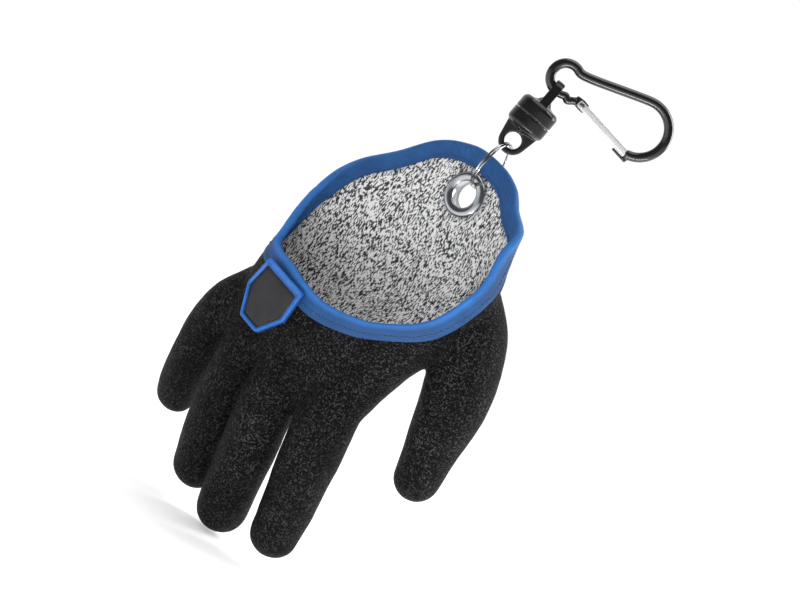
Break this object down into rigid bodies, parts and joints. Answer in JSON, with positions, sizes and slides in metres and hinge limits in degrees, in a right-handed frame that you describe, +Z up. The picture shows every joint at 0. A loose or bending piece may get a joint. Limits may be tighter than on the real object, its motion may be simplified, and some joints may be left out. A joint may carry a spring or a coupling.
{
  "type": "fishing glove",
  "caption": "Open-cuffed coated knit fishing glove for the right hand, with a bound rim, a rubber patch, a grommet, a split ring, a magnetic release clip and a snap hook.",
  "frame": {"origin": "the middle of the wrist opening, level with the sides of its hem, where the hand goes in", "axes": "+Z runs up the forearm, the fingers point to -Z, the back of the hand faces -Y, the palm +Y, and the thumb side is +X"},
  "size_m": [0.1621, 0.0821, 0.293],
  "materials": {
    "latex": "crinkled matt black latex",
    "knit": "grey melange knit",
    "tape": "blue twill tape",
    "patch_rim": "satin blue rubber",
    "patch_field": "satin dark grey rubber",
    "bright_steel": "bright plated steel",
    "clip_plastic": "gloss black plastic",
    "black_metal": "gloss black coated aluminium"
  },
  "bodies": {
    "glove": {"latex_shell": "latex", "knit_liner": "knit", "hem_binding": "tape", "label_rim": "patch_rim", "label_field": "patch_field", "grommet_front": "bright_steel", "grommet_washer": "bright_steel", "split_ring": "bright_steel", "clip_lower_half": "clip_plastic"},
    "hook": {"clip_upper_half": "clip_plastic", "carabiner_body": "black_metal", "gate_rivet": "bright_steel"},
    "gate": {"carabiner_gate": "bright_steel"}
  },
  "joints": [
    {"name": "clip_swivel", "type": "hinge", "parent": "glove", "child": "hook", "pos_m": [0.00787, 0.02613, 0.07828], "axis": [0.1152, 0.0613, 0.9914], "continuous": true},
    {"name": "gate_hinge", "type": "hinge", "parent": "hook", "child": "gate", "pos_m": [0.0225, 0.03391, 0.09536], "axis": [0.4695, -0.8829, 0], "range_deg": [0, 30], "stiffness_Nm_per_rad": 0.03, "springref_deg": -22.92}
  ]
}
